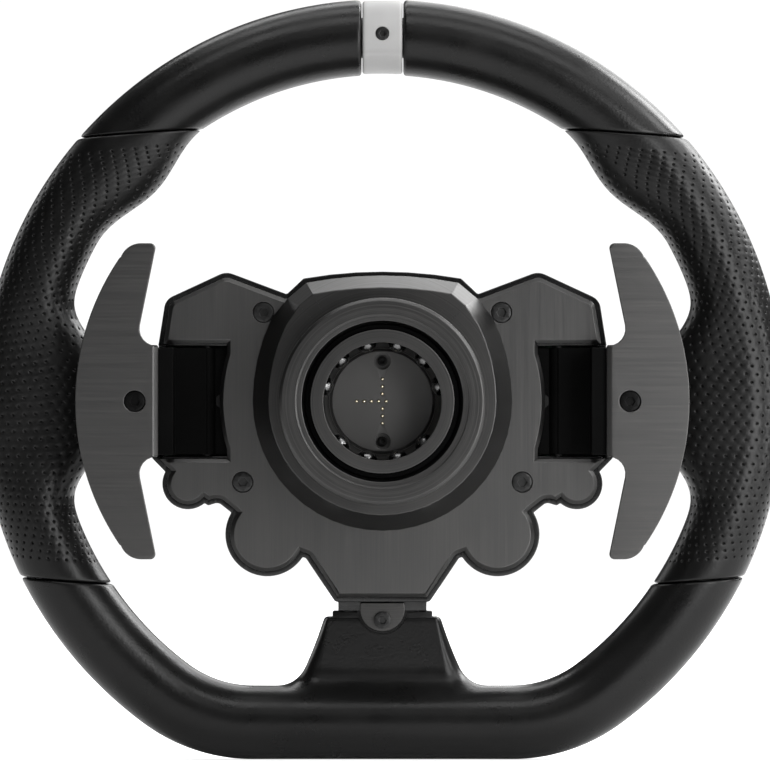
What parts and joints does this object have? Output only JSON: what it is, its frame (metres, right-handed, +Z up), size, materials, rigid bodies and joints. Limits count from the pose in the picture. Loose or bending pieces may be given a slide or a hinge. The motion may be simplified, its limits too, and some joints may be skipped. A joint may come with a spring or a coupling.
{
  "type": "detachable racing wheel for a driving simulator",
  "caption": "Flat-bottomed racing wheel for a driving simulator, leather-wrapped, with shift paddles and a ball-lock quick-release socket on its back.",
  "frame": {"origin": "centre of the quick-release socket's open mouth, on the steering axis", "axes": "+Y along the steering axis towards the driver, +Z up to the marker band, +X to the driver's left, which is the right-hand side seen from behind"},
  "size_m": [0.28, 0.071, 0.2645],
  "materials": {
    "smooth_leather": "smooth black leather, soft sheen",
    "perforated_leather": "finely perforated black leather, matt",
    "marker_leather": "smooth light grey leather",
    "frame_aluminium": "satin",
    "black_screws": "black oxide, satin",
    "housing_plastic": "fine moulded grain, black",
    "fascia_aluminium": "black anodised, fine brushing",
    "plate_aluminium": "dark anodised, brushed",
    "boss_aluminium": "dark anodised, satin",
    "circuit_board": "solder mask",
    "switch_plastic": "moulded, satin",
    "light_window": "smoked, glossy",
    "polished_steel": "polished",
    "spring_steel": "drawn wire, oiled",
    "socket_aluminium": "dark anodised, turned",
    "stop_ring_steel": "black oxide, satin",
    "contact_plastic": "moulded, satin",
    "gold_contacts": "gold plated",
    "arm_steel": "black powder coat",
    "button_plastic": "satin moulded caps",
    "red_button_plastic": "satin moulded caps",
    "stick_metal": "plain steel",
    "stick_rubber": "knurled soft rubber"
  },
  "bodies": {
    "root": {"rim_core": "frame_aluminium", "upper_left_wrap": "smooth_leather", "upper_right_wrap": "smooth_leather", "left_grip": "perforated_leather", "right_grip": "perforated_leather", "lower_wrap": "smooth_leather", "centre_marker": "marker_leather", "rim_screws": "black_screws", "hub_housing": "housing_plastic", "front_fascia": "fascia_aluminium", "back_plate": "plate_aluminium", "rear_boss": "boss_aluminium", "spoke_tab": "boss_aluminium", "case_screws": "black_screws", "main_board": "circuit_board", "board_switches": "switch_plastic", "light_bar": "light_window", "paddle_switches": "switch_plastic", "pivot_pins": "polished_steel", "stop_magnets": "polished_steel", "qr_socket": "socket_aluminium", "qr_spring": "spring_steel", "collar_stop_ring": "stop_ring_steel", "contact_plate": "contact_plastic", "contact_pins": "gold_contacts", "contact_screws": "black_screws", "qr_bolts": "black_screws"},
    "left_paddle_lever": {"left_paddle": "plate_aluminium", "left_paddle_arm": "arm_steel", "left_paddle_screw": "black_screws", "left_arm_magnet": "polished_steel"},
    "right_paddle_lever": {"right_paddle": "plate_aluminium", "right_paddle_arm": "arm_steel", "right_paddle_screw": "black_screws", "right_arm_magnet": "polished_steel"},
    "collar": {"qr_collar": "socket_aluminium"},
    "ball_1": {"qr_ball_1": "polished_steel"},
    "ball_2": {"qr_ball_2": "polished_steel"},
    "ball_3": {"qr_ball_3": "polished_steel"},
    "ball_4": {"qr_ball_4": "polished_steel"},
    "ball_5": {"qr_ball_5": "polished_steel"},
    "ball_6": {"qr_ball_6": "polished_steel"},
    "ball_7": {"qr_ball_7": "polished_steel"},
    "ball_8": {"qr_ball_8": "polished_steel"},
    "ball_9": {"qr_ball_9": "polished_steel"},
    "ball_10": {"qr_ball_10": "polished_steel"},
    "left_button_1_cap": {"left_button_1": "button_plastic"},
    "left_button_2_cap": {"left_button_2": "button_plastic"},
    "left_button_3_cap": {"left_button_3": "button_plastic"},
    "left_button_4_cap": {"left_button_4": "red_button_plastic"},
    "left_stick_gimbal": {"left_hat_gimbal": "stick_metal"},
    "left_stick_post": {"left_hat_post": "stick_metal"},
    "left_stick_cap": {"left_hat_cap": "stick_rubber"},
    "right_button_1_cap": {"right_button_1": "button_plastic"},
    "right_button_2_cap": {"right_button_2": "button_plastic"},
    "right_button_3_cap": {"right_button_3": "button_plastic"},
    "right_button_4_cap": {"right_button_4": "red_button_plastic"},
    "right_stick_gimbal": {"right_hat_gimbal": "stick_metal"},
    "right_stick_post": {"right_hat_post": "stick_metal"},
    "right_stick_cap": {"right_hat_cap": "stick_rubber"}
  },
  "joints": [
    {"name": "left_paddle_pull", "type": "hinge", "parent": "root", "child": "left_paddle_lever", "pos_m": [0.061, 0.0467, 0], "axis": [0, 0, 1], "range_deg": [0, 4], "stiffness_Nm_per_rad": 1.5, "springref_deg": -2.86},
    {"name": "right_paddle_pull", "type": "hinge", "parent": "root", "child": "right_paddle_lever", "pos_m": [-0.061, 0.0467, 0], "axis": [0, 0, -1], "range_deg": [0, 4], "stiffness_Nm_per_rad": 1.5, "springref_deg": -2.86},
    {"name": "collar_pull", "type": "slide", "parent": "root", "child": "collar", "axis": [0, 1, 0], "range_m": [0, 0.0055], "stiffness_N_per_m": 1500, "springref_m": -0.004, "deforming": ["qr_spring"]},
    {"name": "ball_1_out", "type": "slide", "parent": "root", "child": "ball_1", "axis": [0.2588, 0, 0.9659], "range_m": [0, 0.00154]},
    {"name": "ball_2_out", "type": "slide", "parent": "root", "child": "ball_2", "axis": [0.7071, 0, 0.7071], "range_m": [0, 0.00154]},
    {"name": "ball_3_out", "type": "slide", "parent": "root", "child": "ball_3", "axis": [0.9659, 0, 0.2588], "range_m": [0, 0.00154]},
    {"name": "ball_4_out", "type": "slide", "parent": "root", "child": "ball_4", "axis": [-0.9659, 0, 0.2588], "range_m": [0, 0.00154]},
    {"name": "ball_5_out", "type": "slide", "parent": "root", "child": "ball_5", "axis": [-0.7071, 0, 0.7071], "range_m": [0, 0.00154]},
    {"name": "ball_6_out", "type": "slide", "parent": "root", "child": "ball_6", "axis": [-0.2588, 0, 0.9659], "range_m": [0, 0.00154]},
    {"name": "ball_7_out", "type": "slide", "parent": "root", "child": "ball_7", "axis": [0.7071, 0, -0.7071], "range_m": [0, 0.00154]},
    {"name": "ball_8_out", "type": "slide", "parent": "root", "child": "ball_8", "axis": [0.2588, 0, -0.9659], "range_m": [0, 0.00154]},
    {"name": "ball_9_out", "type": "slide", "parent": "root", "child": "ball_9", "axis": [-0.2588, 0, -0.9659], "range_m": [0, 0.00154]},
    {"name": "ball_10_out", "type": "slide", "parent": "root", "child": "ball_10", "axis": [-0.7071, 0, -0.7071], "range_m": [0, 0.00154]},
    {"name": "left_button_1_press", "type": "slide", "parent": "root", "child": "left_button_1_cap", "axis": [0, -1, 0], "range_m": [0, 0.0008], "stiffness_N_per_m": 1200, "springref_m": -0.0006},
    {"name": "left_button_2_press", "type": "slide", "parent": "root", "child": "left_button_2_cap", "axis": [0, -1, 0], "range_m": [0, 0.0008], "stiffness_N_per_m": 1200, "springref_m": -0.0006},
    {"name": "left_button_3_press", "type": "slide", "parent": "root", "child": "left_button_3_cap", "axis": [0, -1, 0], "range_m": [0, 0.0008], "stiffness_N_per_m": 1200, "springref_m": -0.0006},
    {"name": "left_button_4_press", "type": "slide", "parent": "root", "child": "left_button_4_cap", "axis": [0, -1, 0], "range_m": [0, 0.0008], "stiffness_N_per_m": 1200, "springref_m": -0.0006},
    {"name": "left_stick_up_down", "type": "hinge", "parent": "root", "child": "left_stick_gimbal", "pos_m": [0.04, 0.0623, -0.0463], "axis": [1, 0, 0], "range_deg": [-8, 8], "stiffness_Nm_per_rad": 0.08},
    {"name": "left_stick_left_right", "type": "hinge", "parent": "left_stick_gimbal", "child": "left_stick_post", "pos_m": [0.04, 0.0623, -0.0463], "axis": [0, 0, 1], "range_deg": [-8, 8], "stiffness_Nm_per_rad": 0.08},
    {"name": "left_stick_press", "type": "slide", "parent": "left_stick_post", "child": "left_stick_cap", "axis": [0, -1, 0], "range_m": [0, 0.0005], "stiffness_N_per_m": 1500, "springref_m": -0.0006},
    {"name": "right_button_1_press", "type": "slide", "parent": "root", "child": "right_button_1_cap", "axis": [0, -1, 0], "range_m": [0, 0.0008], "stiffness_N_per_m": 1200, "springref_m": -0.0006},
    {"name": "right_button_2_press", "type": "slide", "parent": "root", "child": "right_button_2_cap", "axis": [0, -1, 0], "range_m": [0, 0.0008], "stiffness_N_per_m": 1200, "springref_m": -0.0006},
    {"name": "right_button_3_press", "type": "slide", "parent": "root", "child": "right_button_3_cap", "axis": [0, -1, 0], "range_m": [0, 0.0008], "stiffness_N_per_m": 1200, "springref_m": -0.0006},
    {"name": "right_button_4_press", "type": "slide", "parent": "root", "child": "right_button_4_cap", "axis": [0, -1, 0], "range_m": [0, 0.0008], "stiffness_N_per_m": 1200, "springref_m": -0.0006},
    {"name": "right_stick_up_down", "type": "hinge", "parent": "root", "child": "right_stick_gimbal", "pos_m": [-0.04, 0.0623, -0.0463], "axis": [1, 0, 0], "range_deg": [-8, 8], "stiffness_Nm_per_rad": 0.08},
    {"name": "right_stick_left_right", "type": "hinge", "parent": "right_stick_gimbal", "child": "right_stick_post", "pos_m": [-0.04, 0.0623, -0.0463], "axis": [0, 0, 1], "range_deg": [-8, 8], "stiffness_Nm_per_rad": 0.08},
    {"name": "right_stick_press", "type": "slide", "parent": "right_stick_post", "child": "right_stick_cap", "axis": [0, -1, 0], "range_m": [0, 0.0005], "stiffness_N_per_m": 1500, "springref_m": -0.0006}
  ],
  "couplings": [
    {"joint": "ball_1_out", "follows": "collar_pull", "ratio": 0.28},
    {"joint": "ball_2_out", "follows": "collar_pull", "ratio": 0.28},
    {"joint": "ball_3_out", "follows": "collar_pull", "ratio": 0.28},
    {"joint": "ball_4_out", "follows": "collar_pull", "ratio": 0.28},
    {"joint": "ball_5_out", "follows": "collar_pull", "ratio": 0.28},
    {"joint": "ball_6_out", "follows": "collar_pull", "ratio": 0.28},
    {"joint": "ball_7_out", "follows": "collar_pull", "ratio": 0.28},
    {"joint": "ball_8_out", "follows": "collar_pull", "ratio": 0.28},
    {"joint": "ball_9_out", "follows": "collar_pull", "ratio": 0.28},
    {"joint": "ball_10_out", "follows": "collar_pull", "ratio": 0.28}
  ]
}
